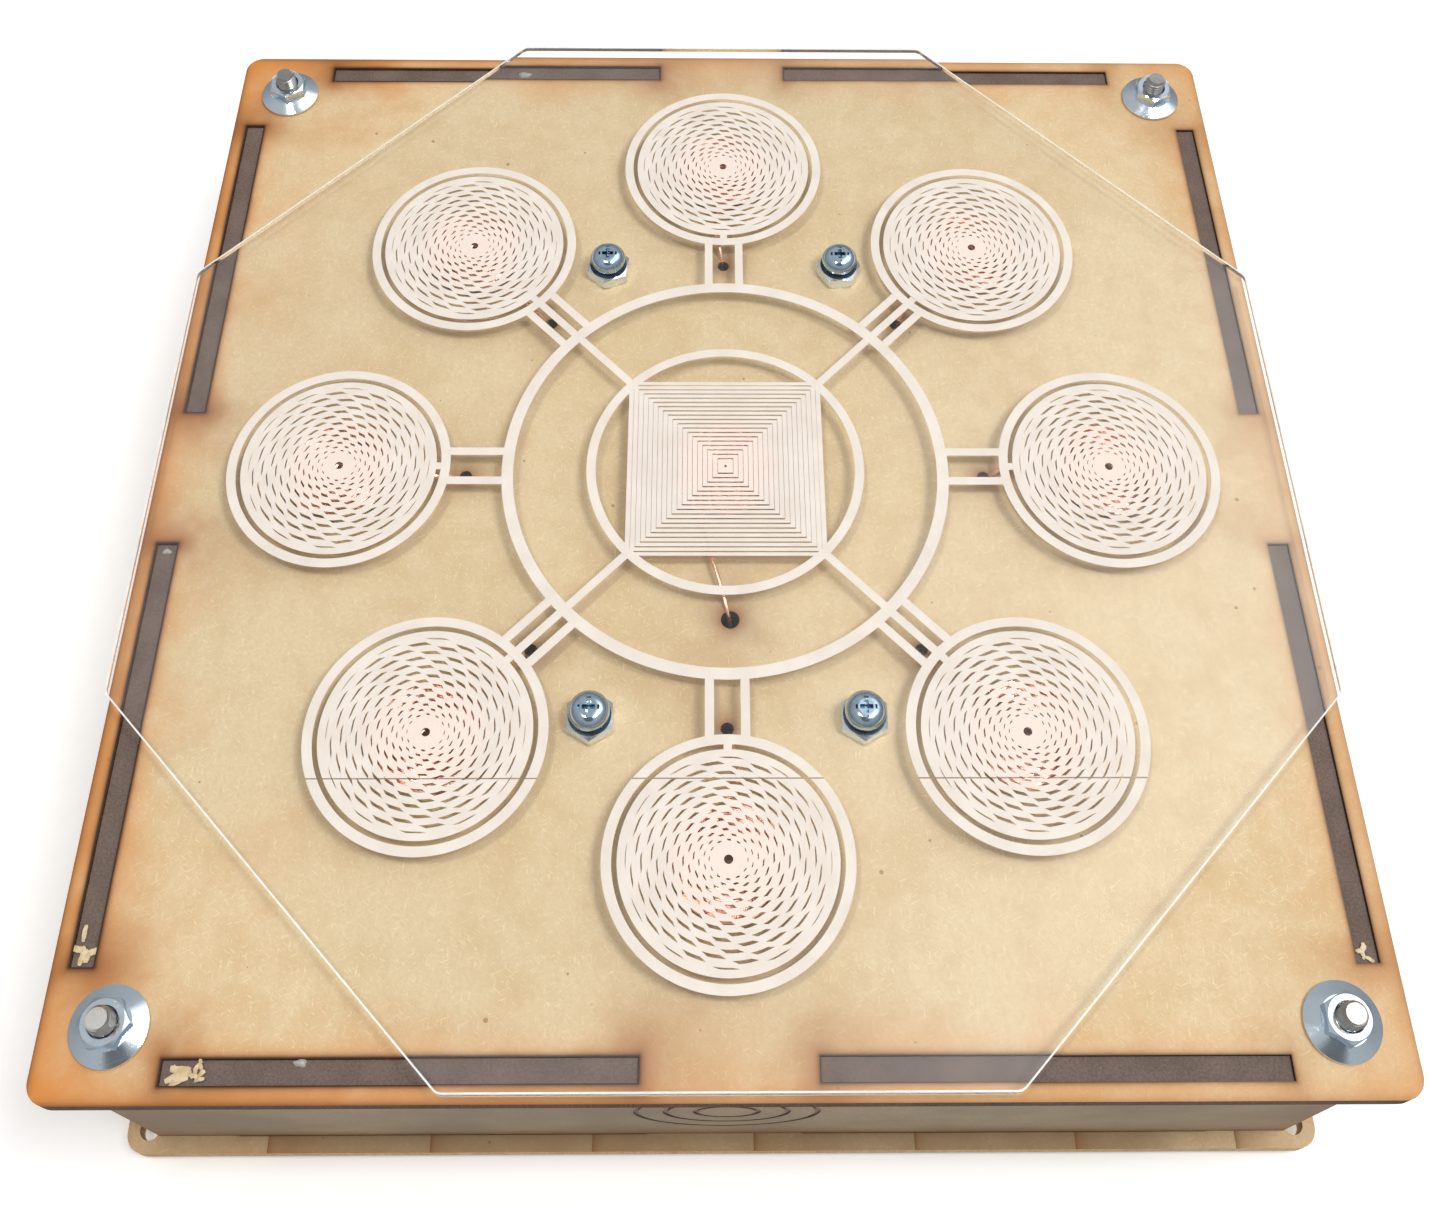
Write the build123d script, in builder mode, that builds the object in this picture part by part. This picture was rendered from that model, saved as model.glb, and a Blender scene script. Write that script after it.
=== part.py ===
"""A laser-cut MDF case with a clear octagonal touch plate over nine flat copper coils.

Frame: +X to the right, +Y to the back, +Z up. The origin is the middle of the underside, in the
plane that the four corner bolt heads stand on. Millimetres throughout.
"""
import os
from math import cos, radians, sin, tan

from build123d import *

# ---- driving dimensions ----
panel_size = 300.0
sheet = 5.0  # MDF thickness, and so the tabs' thickness
corner_radius = 5.0
wall_height = 70.0  # clear height between base plate and top panel
wall_outer = 146.0  # case centre to the outer face of a wall
plate_across_flats = 298.0
plate_corner_radius = 3.0
plate_thickness = 3.0
spacer_height = 4.0  # gap between top panel and touch plate

# ---- tabs and slots ----
slot_start = 19.7  # from the middle of a side to the near end of a slot
slot_end = 122.0
kerf = 0.1  # clearance all round a tab in its slot
tab_shy = 0.8  # how far a tab stops below the sheet's outer face
front_wall_half = 141.8  # half the length of the front and back walls
side_wall_gap = 0.1  # between a side wall's end and the wall that it butts against

# ---- corner fasteners: M6 hex bolts with wide flange nuts ----
bolt_offset = 134.5
bolt_diameter = 6.0
bolt_length = 90.0
bolt_hole = 6.4
bolt_chamfer = 0.8
head_height = 4.0
head_across_flats = 10.0
nut_height = 6.0
nut_flange_diameter = 17.2
nut_flange_edge = 1.1
nut_flange_foot = 0.4  # small chamfer under the flange's rim
nut_neck_radius = 5.4  # where the flange's cone meets the hexagon
nut_neck_height = 2.6
nut_mouth = 0.4  # how much wider the bore's countersink is than the bore
nut_running_clearance = 0.05

# ---- touch plate fasteners: M5 pan-head screws, M6 nuts as spacers, M5 lock nuts ----
screw_x = 33.0
screw_y = 66.5
screw_diameter = 5.0
screw_length = 20.0
screw_hole = 5.3
screw_head_diameter = 10.0
screw_head_height = 3.6
screw_head_rim = 1.0  # height of the head's straight side
screw_tip_chamfer = 0.6
cross_span = 5.2
cross_width = 1.1
cross_depth = 2.2
cross_taper = 8
spacer_across_flats = 11.0
spacer_bore = 6.0
lock_nut_across_flats = 8.0
lock_nut_height = 4.0

# How far each nut is turned, in degrees, by its corner (y, x); 0 points two of its corners along X.
spacer_turns = {(-1, -1): 30, (-1, 1): 30, (1, -1): 22, (1, 1): 3}
flange_nut_turns = {(-1, -1): 0, (-1, 1): 28, (1, -1): 33, (1, 1): 25}

# ---- coils and their leads ----
pad_circle = 101.0  # radius of the circle that the eight outer pads sit on
hole_circle = 68.6  # radius of the circle of lead holes
lead_hole = 3.2
centre_hole = 4.7
centre_hole_place = (1.0, -40.5)
lead_diameter = 1.1
coil_thickness = 1.3
coil_radius = 14.0
coil_eye = 1.5
lead_sideways = 4.0  # how far off the radial line a lead leaves its coil
lead_overlap = 1.5  # how far inside its coil's rim a lead starts
centre_lead_start = (-8.2, -9.6)
lead_bend = 2.9  # radius where a lead turns down into its hole
lead_drop = 48.0  # height where a lead leaves its hole's line
centre_lead_drop = 60.0
lead_approach = 14.0  # straight run into a terminal
lead_stop_short = 0.6  # between a lead's end and the bottom of its mouth

# ---- base plate corner holes and the cable outlet ----
corner_hole = 5.0
corner_hole_offset = 144.5
outlet_diameter = 12.0
outlet_height = 30.0

# ---- circuit board and what is on it ----
board_x, board_y, board_thickness = 80.0, 60.0, 1.6
board_middle_y = 8.0
board_corner_radius = 3.0
board_hole_inset = 4.0
standoff_height = 10.0
standoff_across_flats = 5.5
small_screw_diameter = 3.0
small_screw_hole = 3.2
small_head_diameter = 5.6
small_head_height = 2.1
small_head_round = 1.2
small_cross_span = 3.0
small_cross_width = 0.7
small_cross_depth = 1.2
base_screw_length = 9.0
board_screw_length = 6.0
terminal_pitch = 5.08
terminal_depth = 8.0
terminal_height = 10.0
mouth_height = 3.5  # lead mouths, above the board
mouth_width = 2.6
mouth_depth = 3.0
terminal_screw_diameter = 3.0
terminal_screw_depth = 2.5
terminal_screw_back = 1.0  # screw holes, behind the strip's middle line
terminal_chamfer = 2.0
terminal_inset = 2.0  # strip face, in from the board's edge
rear_strip_x = -12.0
usb_x, usb_y, usb_z = 12.0, 16.0, 11.0
usb_place_x = 22.0
usb_overhang = 1.0
usb_wall = 0.8
usb_tongue_x, usb_tongue_z = 5.6, 3.3
usb_mouth_depth = 9.6
chips = {"touch_chip": (-20.0, 8.0, 10.0), "controller_chip": (8.0, 10.0, 12.0)}  # place and side
chip_thickness = 1.5
chip_chamfer = 0.25

# ---- front wall figure: plain burnt rings ----
ring_radii = (8.0, 15.0, 22.0)
ring_groove = 1.2
ring_depth = 0.4

# ---- heights ----
base_bottom = head_height
base_top = base_bottom + sheet
panel_bottom = base_top + wall_height
panel_top = panel_bottom + sheet
plate_bottom = panel_top + spacer_height
plate_top = plate_bottom + plate_thickness
board_bottom = base_top + standoff_height
board_top = board_bottom + board_thickness

wall_inner = wall_outer - sheet
slot_middle = (slot_start + slot_end) / 2
slot_length = slot_end - slot_start
slot_places = [
    Location((0, 0, 0), (0, 0, 90 * side)) * Location((along * slot_middle, -wall_inner - sheet / 2))
    for side in range(4)
    for along in (-1, 1)
]
standoff_span_x = board_x - 2 * board_hole_inset
standoff_span_y = board_y - 2 * board_hole_inset

os.makedirs("parts", exist_ok=True)


def save(piece, name):
    """Label one finished piece and write it as its own STEP file."""
    piece.label = name
    export_step(piece, f"parts/{name}.step")


# ================= MDF sheets =================
with BuildPart() as base_plate:
    with BuildSketch(Plane.XY.offset(base_bottom)):
        RectangleRounded(panel_size, panel_size, corner_radius)
        with Locations(*slot_places):
            Rectangle(slot_length + 2 * kerf, sheet + 2 * kerf, mode=Mode.SUBTRACT)
        with GridLocations(2 * bolt_offset, 2 * bolt_offset, 2, 2):
            Circle(bolt_hole / 2, mode=Mode.SUBTRACT)
        with GridLocations(2 * corner_hole_offset, 2 * corner_hole_offset, 2, 2):
            Circle(corner_hole / 2, mode=Mode.SUBTRACT)
        with Locations((0, board_middle_y)):
            with GridLocations(standoff_span_x, standoff_span_y, 2, 2):
                Circle(small_screw_hole / 2, mode=Mode.SUBTRACT)
    extrude(amount=sheet)
save(base_plate.part, "base_plate")

with BuildPart() as top_panel:
    with BuildSketch(Plane.XY.offset(panel_bottom)):
        RectangleRounded(panel_size, panel_size, corner_radius)
        with Locations(*slot_places):
            Rectangle(slot_length + 2 * kerf, sheet + 2 * kerf, mode=Mode.SUBTRACT)
        with GridLocations(2 * bolt_offset, 2 * bolt_offset, 2, 2):
            Circle(bolt_hole / 2, mode=Mode.SUBTRACT)
        with GridLocations(2 * screw_x, 2 * screw_y, 2, 2):
            Circle(screw_hole / 2, mode=Mode.SUBTRACT)
        with PolarLocations(hole_circle, 8):
            Circle(lead_hole / 2, mode=Mode.SUBTRACT)
        with Locations(centre_hole_place):
            Circle(centre_hole / 2, mode=Mode.SUBTRACT)
    extrude(amount=sheet)
save(top_panel.part, "top_panel")


def side_plane(angle, distance, height):
    """The upright plane at a distance from the middle, facing outwards; angle 0 faces the front."""
    turn = radians(angle)
    outward = (sin(turn), -cos(turn), 0)
    origin = (distance * outward[0], distance * outward[1], height)
    return Plane(origin=origin, x_dir=(cos(turn), sin(turn), 0), z_dir=outward)


def wall_outline(length):
    """Draw a wall with two tabs up and two tabs down in the sketch that is open."""
    Rectangle(length, wall_height)
    tab_reach = sheet - tab_shy
    with GridLocations(2 * slot_middle, wall_height + tab_reach, 2, 2):
        Rectangle(slot_length, tab_reach)


wall_middle = base_top + wall_height / 2
side_wall_length = 2 * (wall_inner - side_wall_gap)

with BuildPart() as front_wall:
    with BuildSketch(side_plane(0, wall_inner, wall_middle)):
        wall_outline(2 * front_wall_half)
    extrude(amount=sheet)
    with BuildSketch(side_plane(0, wall_outer, wall_middle)):
        for radius in sorted(ring_radii, reverse=True):
            Circle(radius)
            Circle(radius - ring_groove, mode=Mode.SUBTRACT)
    extrude(amount=-ring_depth, mode=Mode.SUBTRACT)
save(front_wall.part, "front_wall")

with BuildPart() as back_wall:
    with BuildSketch(side_plane(180, wall_inner, wall_middle)):
        wall_outline(2 * front_wall_half)
        with Locations((-usb_place_x, outlet_height - wall_middle)):
            Circle(outlet_diameter / 2, mode=Mode.SUBTRACT)
    extrude(amount=sheet)
save(back_wall.part, "back_wall")

for name, angle in (("right_wall", 90), ("left_wall", 270)):
    with BuildPart() as side_wall:
        with BuildSketch(side_plane(angle, wall_inner, wall_middle)):
            wall_outline(side_wall_length)
        extrude(amount=sheet)
    save(side_wall.part, name)

# ================= touch plate =================
with BuildPart() as touch_plate:
    with BuildSketch(Plane.XY.offset(plate_bottom)) as octagon:
        RegularPolygon(plate_across_flats / 2, 8, major_radius=False, rotation=22.5)
        fillet(octagon.vertices(), radius=plate_corner_radius)
        with GridLocations(2 * screw_x, 2 * screw_y, 2, 2):
            Circle(screw_hole / 2, mode=Mode.SUBTRACT)
    extrude(amount=plate_thickness)
save(touch_plate.part, "touch_plate")

# ================= plate screws, spacers and lock nuts =================
with BuildPart() as plate_screw:
    with BuildSketch(Plane.XZ):
        with BuildLine():
            rim = (screw_head_diameter / 2, screw_head_rim)
            crown = (screw_head_diameter * 0.16, screw_head_height)
            tip_radius = screw_diameter / 2 - screw_tip_chamfer
            Polyline((0, screw_head_height), (0, -screw_length), (tip_radius, -screw_length),
                     (screw_diameter / 2, -screw_length + screw_tip_chamfer), (screw_diameter / 2, 0),
                     (screw_head_diameter / 2 - 0.2, 0), rim)
            ThreePointArc(rim, (screw_head_diameter * 0.38, screw_head_height * 0.82), crown)
            Line(crown, (0, screw_head_height))
        make_face()
    revolve(axis=Axis.Z)
    with BuildSketch(Plane.XY.offset(screw_head_height)):
        Rectangle(cross_span, cross_width)
        Rectangle(cross_width, cross_span)
    extrude(amount=-cross_depth, taper=cross_taper, mode=Mode.SUBTRACT)

with BuildPart() as plate_screws:
    with Locations((0, 0, plate_top)):
        with GridLocations(2 * screw_x, 2 * screw_y, 2, 2):
            add(plate_screw.part)
save(plate_screws.part, "plate_screws")


def hex_blank(across_flats, height, chamfer_bottom=True):
    """A hexagon standing on the XY plane, with its corners coned off at 30 degrees."""
    face_radius = across_flats * 0.475
    outer_radius = across_flats / 2 / cos(radians(30)) + 0.1
    drop = (outer_radius - face_radius) * tan(radians(30))
    low_side = [(face_radius, 0), (outer_radius, drop)] if chamfer_bottom else [(outer_radius, 0)]
    with BuildPart() as blank:
        with BuildSketch():
            RegularPolygon(across_flats / 2, 6, major_radius=False)
        extrude(amount=height)
        with BuildSketch(Plane.XZ):
            with BuildLine():
                Polyline((0, 0), *low_side, (outer_radius, height - drop), (face_radius, height), (0, height),
                         close=True)
            make_face()
        revolve(axis=Axis.Z, mode=Mode.INTERSECT)
    return blank.part


spacer_blank = hex_blank(spacer_across_flats, spacer_height)
with BuildPart() as spacer_nut:
    add(spacer_blank)
    with Locations((0, 0, spacer_height)):
        Hole(spacer_bore / 2)

with BuildPart() as spacer_nuts:
    for (end_y, side_x), turn in spacer_turns.items():
        with Locations(Location((side_x * screw_x, end_y * screw_y, panel_top), (0, 0, turn))):
            add(spacer_nut.part)
save(spacer_nuts.part, "spacer_nuts")

lock_nut_blank = hex_blank(lock_nut_across_flats, lock_nut_height)
with BuildPart() as lock_nut:
    add(lock_nut_blank)
    with Locations((0, 0, lock_nut_height)):
        Hole(screw_diameter / 2)

with BuildPart() as plate_lock_nuts:
    with Locations((0, 0, panel_bottom - lock_nut_height)):
        with GridLocations(2 * screw_x, 2 * screw_y, 2, 2):
            add(lock_nut.part)
save(plate_lock_nuts.part, "plate_lock_nuts")

# ================= corner bolts and flange nuts =================
bolt_head = hex_blank(head_across_flats, head_height)
with BuildPart() as corner_bolt:
    add(bolt_head)
    with BuildSketch(Plane.XY.offset(head_height)):
        Circle(bolt_diameter / 2)
    extrude(amount=bolt_length)
    chamfer(corner_bolt.faces().sort_by(Axis.Z)[-1].edges(), bolt_chamfer)

with BuildPart() as corner_bolts:
    with GridLocations(2 * bolt_offset, 2 * bolt_offset, 2, 2):
        add(corner_bolt.part)
save(corner_bolts.part, "corner_bolts")

flange_radius = nut_flange_diameter / 2
nut_bore_radius = bolt_diameter / 2 + nut_running_clearance
nut_blank = hex_blank(head_across_flats, nut_height, chamfer_bottom=False)
with BuildPart() as flange_nut:
    add(nut_blank)
    with BuildSketch(Plane.XZ):
        with BuildLine():
            Polyline((0, 0), (flange_radius - nut_flange_foot, 0), (flange_radius, nut_flange_foot),
                     (flange_radius, nut_flange_edge), (nut_neck_radius, nut_neck_height),
                     (0, nut_neck_height), close=True)
        make_face()
    revolve(axis=Axis.Z)
    with Locations((0, 0, nut_height)):
        CounterSinkHole(nut_bore_radius, nut_bore_radius + nut_mouth, counter_sink_angle=90)

for (end_y, side_x), turn in flange_nut_turns.items():
    end_name = "front" if end_y < 0 else "back"
    side_name = "left" if side_x < 0 else "right"
    place = Location((side_x * bolt_offset, end_y * bolt_offset, panel_top), (0, 0, turn))
    save(flange_nut.part.moved(place), f"flange_nut_{end_name}_{side_name}")

# ================= circuit board =================
with BuildPart() as controller_board:
    with BuildSketch(Plane.XY.offset(board_bottom)):
        with Locations((0, board_middle_y)):
            RectangleRounded(board_x, board_y, board_corner_radius)
            with GridLocations(standoff_span_x, standoff_span_y, 2, 2):
                Circle(small_screw_hole / 2, mode=Mode.SUBTRACT)
    extrude(amount=board_thickness)
save(controller_board.part, "controller_board")


def terminal_strip(ways, middle_x, front_face_y, facing):
    """A screw terminal strip; facing is -1 with its mouths to the front and +1 with them to the back."""
    with BuildPart() as strip:
        middle_y = front_face_y - facing * terminal_depth / 2
        with BuildSketch(Plane.XY.offset(board_top)):
            with Locations((middle_x, middle_y)):
                Rectangle(ways * terminal_pitch, terminal_depth)
        extrude(amount=terminal_height)
        top_edge = strip.faces().sort_by(Axis.Z)[-1].edges().filter_by(Axis.X).sort_by(Axis.Y)
        chamfer(top_edge[0 if facing < 0 else -1], terminal_chamfer)
        mouth_plane = Plane(origin=(middle_x, front_face_y, board_top + mouth_height),
                            x_dir=(1, 0, 0), z_dir=(0, facing, 0))
        with BuildSketch(mouth_plane):
            with GridLocations(terminal_pitch, 0, ways, 1):
                Rectangle(mouth_width, mouth_width)
        extrude(amount=-mouth_depth, mode=Mode.SUBTRACT)
        with Locations((middle_x, middle_y - facing * terminal_screw_back, board_top + terminal_height)):
            with GridLocations(terminal_pitch, 0, ways, 1):
                Hole(terminal_screw_diameter / 2, depth=terminal_screw_depth)
    return strip.part


front_face_y = board_middle_y - board_y / 2 + terminal_inset
rear_face_y = board_middle_y + board_y / 2 - terminal_inset
save(terminal_strip(6, 0.0, front_face_y, -1), "front_terminals")
save(terminal_strip(3, rear_strip_x, rear_face_y, 1), "rear_terminals")

with BuildPart() as usb_socket:
    usb_back_y = board_middle_y + board_y / 2 + usb_overhang
    with BuildSketch(Plane.XY.offset(board_top)):
        with Locations((usb_place_x, usb_back_y - usb_y / 2)):
            Rectangle(usb_x, usb_y)
    extrude(amount=usb_z)
    mouth = Plane(origin=(usb_place_x, usb_back_y, board_top + usb_z / 2), x_dir=(1, 0, 0), z_dir=(0, 1, 0))
    with BuildSketch(mouth):
        Rectangle(usb_x - 2 * usb_wall, usb_z - 2 * usb_wall)
        Rectangle(usb_tongue_x, usb_tongue_z, mode=Mode.SUBTRACT)
    extrude(amount=-usb_mouth_depth, mode=Mode.SUBTRACT)
save(usb_socket.part, "usb_socket")

for name, (chip_x, chip_y, chip_size) in chips.items():
    with BuildPart() as chip:
        with BuildSketch(Plane.XY.offset(board_top)):
            with Locations((chip_x, chip_y)):
                Rectangle(chip_size, chip_size)
        extrude(amount=chip_thickness)
        chamfer(chip.faces().sort_by(Axis.Z)[-1].edges(), chip_chamfer)
    save(chip.part, name)

with BuildPart() as board_standoff:
    with BuildSketch():
        RegularPolygon(standoff_across_flats / 2, 6, major_radius=False)
        Circle(small_screw_diameter / 2, mode=Mode.SUBTRACT)
    extrude(amount=standoff_height)


def small_screw(length):
    """A small pan-head screw with its head's underside on the XY plane and its shank going down."""
    with BuildPart() as screw:
        with BuildSketch():
            Circle(small_head_diameter / 2)
        extrude(amount=small_head_height)
        fillet(screw.faces().sort_by(Axis.Z)[-1].edges(), radius=small_head_round)
        with BuildSketch(Plane.XY.offset(small_head_height)):
            Rectangle(small_cross_span, small_cross_width)
            Rectangle(small_cross_width, small_cross_span)
        extrude(amount=-small_cross_depth, mode=Mode.SUBTRACT)
        with BuildSketch():
            Circle(small_screw_diameter / 2)
        extrude(amount=-length)
    return screw.part


def at_standoffs(piece, height):
    """Four copies of a piece, one at each standoff, at a height."""
    with BuildPart() as group:
        with Locations((0, board_middle_y, height)):
            with GridLocations(standoff_span_x, standoff_span_y, 2, 2):
                add(piece)
    return group.part


upside_down = Location((0, 0, 0), (180, 0, 0))
save(at_standoffs(board_standoff.part, base_top), "board_standoffs")
save(at_standoffs(small_screw(board_screw_length - board_thickness), board_top), "board_screws")
base_screw = small_screw(base_screw_length).moved(upside_down)
save(at_standoffs(base_screw, base_bottom), "standoff_screws")

# ================= coils, each in one piece with its lead =================
coil_middle_z = plate_bottom - coil_thickness / 2
mouth_z = board_top + mouth_height
bare_end = mouth_depth - lead_stop_short  # how far a lead reaches into its terminal


def lead_radii(points):
    """A bend radius for each corner: 0.45 of its shorter run over the tangent of half the turn."""
    runs = [Vector(*b) - Vector(*a) for a, b in zip(points, points[1:])]
    radii = []
    for before, after in zip(runs, runs[1:]):
        half_turn = radians(before.get_angle(after)) / 2
        radii.append(0.45 * min(before.length, after.length) / tan(half_turn))
    radii[0] = min(radii[0], lead_bend)
    return radii


def coil_with_lead(middle, start, hole, terminal_x, terminal_y, facing, drop):
    """A flat coil under the plate and its lead, down through the panel to its terminal."""
    end = (terminal_x, terminal_y - facing * bare_end, mouth_z)
    outside = (terminal_x, terminal_y + facing * lead_approach, mouth_z)
    points = [(*start, coil_middle_z), (*hole, coil_middle_z), (*hole, drop), outside, end]
    radii = lead_radii(points)
    with BuildPart() as coil:
        with BuildSketch(Plane.XY.offset(plate_bottom - coil_thickness)):
            with Locations(middle):
                Circle(coil_radius)
                Circle(coil_eye, mode=Mode.SUBTRACT)
        extrude(amount=coil_thickness)
        with BuildLine() as route:
            FilletPolyline(*points, radius=radii)
        with BuildSketch(Plane(origin=route.line @ 0, z_dir=route.line % 0)):
            Circle(lead_diameter / 2)
        sweep(path=route.line)
    return coil.part, route.wires()[0].length, radii


# Each outer pad: its name, its bearing from +X, and its terminal, counted from the strip's left end.
front_ways = {"left": 0, "front_left": 1, "front": 3, "front_right": 4, "right": 5}
rear_ways = {"back_left": 0, "back": 1, "back_right": 2}
bearings = {"right": 0, "back_right": 45, "back": 90, "back_left": 135, "left": 180, "front_left": 225,
            "front": 270, "front_right": 315}
centre_way = 2

for name, bearing in bearings.items():
    along = (cos(radians(bearing)), sin(radians(bearing)))
    across = (-along[1], along[0])
    inner_edge = pad_circle - coil_radius + lead_overlap
    start = tuple(inner_edge * along[i] + lead_sideways * across[i] for i in (0, 1))
    hole = tuple(hole_circle * along[i] for i in (0, 1))
    middle = tuple(pad_circle * along[i] for i in (0, 1))
    if name in rear_ways:
        terminal_x = rear_strip_x + (rear_ways[name] - 1) * terminal_pitch
        terminal_y, facing = rear_face_y, 1
    else:
        terminal_x = (front_ways[name] - 2.5) * terminal_pitch
        terminal_y, facing = front_face_y, -1
    coil, length, radii = coil_with_lead(middle, start, hole, terminal_x, terminal_y, facing, lead_drop)
    print(name, "lead", round(length), "mm, bend radii", [round(r, 1) for r in radii])
    save(coil, f"coil_{name}")

centre_x = (centre_way - 2.5) * terminal_pitch
coil, length, radii = coil_with_lead((0, 0), centre_lead_start, centre_hole_place, centre_x,
                                     front_face_y, -1, centre_lead_drop)
print("centre lead", round(length), "mm, bend radii", [round(r, 1) for r in radii])
save(coil, "coil_centre")
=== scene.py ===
"""Looks for a laser-cut MDF touch-pad case with a clear engraved octagon over flat copper coils.

Everything is in metres in the frame of the model: +X right, +Y back, +Z up, origin under the middle.
"""

import bmesh
import bpy
import numpy as np
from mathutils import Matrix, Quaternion, Vector


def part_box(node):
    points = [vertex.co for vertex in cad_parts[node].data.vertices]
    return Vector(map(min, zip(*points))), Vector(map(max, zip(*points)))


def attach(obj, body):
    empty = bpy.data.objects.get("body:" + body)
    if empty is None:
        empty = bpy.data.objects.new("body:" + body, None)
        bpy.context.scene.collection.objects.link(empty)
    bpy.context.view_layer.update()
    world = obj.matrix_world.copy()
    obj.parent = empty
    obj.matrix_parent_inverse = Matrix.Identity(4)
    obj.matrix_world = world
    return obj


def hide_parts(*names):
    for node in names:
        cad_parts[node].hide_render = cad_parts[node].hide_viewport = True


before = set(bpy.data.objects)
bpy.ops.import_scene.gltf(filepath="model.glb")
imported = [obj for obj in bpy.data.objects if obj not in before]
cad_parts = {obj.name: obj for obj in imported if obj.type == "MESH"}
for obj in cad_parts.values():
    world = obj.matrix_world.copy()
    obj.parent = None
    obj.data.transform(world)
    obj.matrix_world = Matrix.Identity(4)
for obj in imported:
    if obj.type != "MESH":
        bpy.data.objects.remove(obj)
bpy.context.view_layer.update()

MM = 0.001
TAU = 2 * np.pi
CASE = "case"
SHARP_ANGLE = np.radians(35)

# ---- places read from the model ----
plate_low, plate_high = (np.array(corner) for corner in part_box("touch_plate"))
_, panel_high = (np.array(corner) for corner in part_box("top_panel"))
_, bolt_high = (np.array(corner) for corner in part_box("corner_bolts"))
nut_low, nut_high = (np.array(corner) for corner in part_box("flange_nut_front_right"))
wall_low, wall_high = (np.array(corner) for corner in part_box("front_wall"))
PLATE_TOP = plate_high[2]
PLATE_BOTTOM = plate_low[2]
PANEL_HALF = panel_high[0]
BOLT_OFFSET = (nut_low[0] + nut_high[0]) / 2
BOLT_TOP = bolt_high[2]
RING_HEIGHT = (wall_low[2] + wall_high[2]) / 2

# ---- slots, holes and pads, as the sheets were cut ----
SLOT_MIDDLE = 143.5 * MM
SLOT_HALF_WIDTH = 2.6 * MM
SLOT_CENTRE = 70.85 * MM
SLOT_HALF_LENGTH = 51.25 * MM
HOLE_CIRCLE = 68.6 * MM
CENTRE_HOLE = (1 * MM, -40.5 * MM)
PAD_CIRCLE = 101 * MM
PAD_BEARINGS = {"right": 0, "back_right": 45, "back": 90, "back_left": 135, "left": 180, "front_left": 225,
                "front": 270, "front_right": 315}
SLAT_PITCH = 40.6 * MM  # between the burnt steps along the base's front edge
SLAT_START = -114.5 * MM
MISSED_LINE = -82.5 * MM  # where the engraver skipped one line
RING_RADII = (7.4 * MM, 14.4 * MM, 21.4 * MM)  # the three rings scored on the front wall


# ================= meshes =================
def grid(points, wrap=False, keep=None):
    """Quads over an array of points (rows, columns, 3); wrap joins the last column to the first."""
    rows, columns = points.shape[:2]
    row, column = np.meshgrid(np.arange(rows - 1), np.arange(columns if wrap else columns - 1), indexing="ij")
    after = (column + 1) % columns
    quads = np.stack([row * columns + column, row * columns + after, (row + 1) * columns + after,
                      (row + 1) * columns + column], axis=-1)
    quads = quads.reshape(-1, 4) if keep is None else quads[keep]
    return points.reshape(-1, 3), quads


def piece(name, patches, material, thickness=0.0):
    """Join patches of quads into one object that rides on the case.

    thickness makes a flat sheet solid, with flat faces; other pieces are smooth up to SHARP_ANGLE.
    """
    counts = np.cumsum([0] + [len(points) for points, quads in patches])
    points = np.concatenate([points for points, quads in patches])
    quads = np.concatenate([quads + start for (_, quads), start in zip(patches, counts)])
    mesh = bpy.data.meshes.new(name)
    mesh.from_pydata(points.tolist(), [], quads.tolist())
    shape = bmesh.new()
    shape.from_mesh(mesh)
    bmesh.ops.remove_doubles(shape, verts=shape.verts, dist=1e-7)
    bmesh.ops.dissolve_degenerate(shape, edges=shape.edges, dist=1e-8)
    loose = [vertex for vertex in shape.verts if not vertex.link_faces]
    bmesh.ops.delete(shape, geom=loose, context="VERTS")
    bmesh.ops.recalc_face_normals(shape, faces=shape.faces)
    shape.to_mesh(mesh)
    shape.free()
    mesh.set_sharp_from_angle(angle=SHARP_ANGLE)  # this makes every face smooth, so it comes first
    mesh.polygons.foreach_set("use_smooth", np.full(len(mesh.polygons), thickness == 0))
    mesh.materials.append(material)
    made = bpy.data.objects.new(name, mesh)
    bpy.context.scene.collection.objects.link(made)
    if thickness:
        solid = made.modifiers.new("thickness", "SOLIDIFY")
        solid.thickness = thickness
        solid.offset = -1.0
    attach(made, CASE)
    return made


def polar(radius, angle, height):
    """Points at a radius, angle and height, all broadcast together."""
    return np.stack(np.broadcast_arrays(radius * np.cos(angle), radius * np.sin(angle), height), axis=-1)


def tube(path, radius, sides=10, squash=1.0):
    """A round tube along a path: each ring stands square to the path, and both ends close to a point.

    squash flattens every ring up and down.
    """
    along = np.gradient(path, axis=0)
    along /= np.linalg.norm(along, axis=1, keepdims=True)
    up = np.array([0.31, 0.17, 0.93])
    side = np.cross(along, up)
    side /= np.linalg.norm(side, axis=1, keepdims=True)
    over = np.cross(side, along)
    angle = np.linspace(0, TAU, sides, endpoint=False)
    ring = np.cos(angle)[None, :, None] * side[:, None] + np.sin(angle)[None, :, None] * over[:, None]
    radius = np.broadcast_to(radius, len(path))[:, None, None]
    points = path[:, None] + radius * ring * (1, 1, squash)
    ends = [np.repeat(path[end][None, None], sides, axis=1) for end in (0, -1)]
    return grid(np.concatenate([ends[0], points, ends[1]]), wrap=True)


def smooth_route(corners, rounds=5):
    """Cut the corners of a line of points again and again, which ends in a quadratic B-spline."""
    route = np.array(corners, float)
    for _ in range(rounds):
        near = 0.75 * route[:-1] + 0.25 * route[1:]
        far = 0.25 * route[:-1] + 0.75 * route[1:]
        cut = np.stack([near, far], axis=1).reshape(-1, 3)
        route = np.concatenate([route[:1], cut[1:-1], route[-1:]])
    return route


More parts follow.
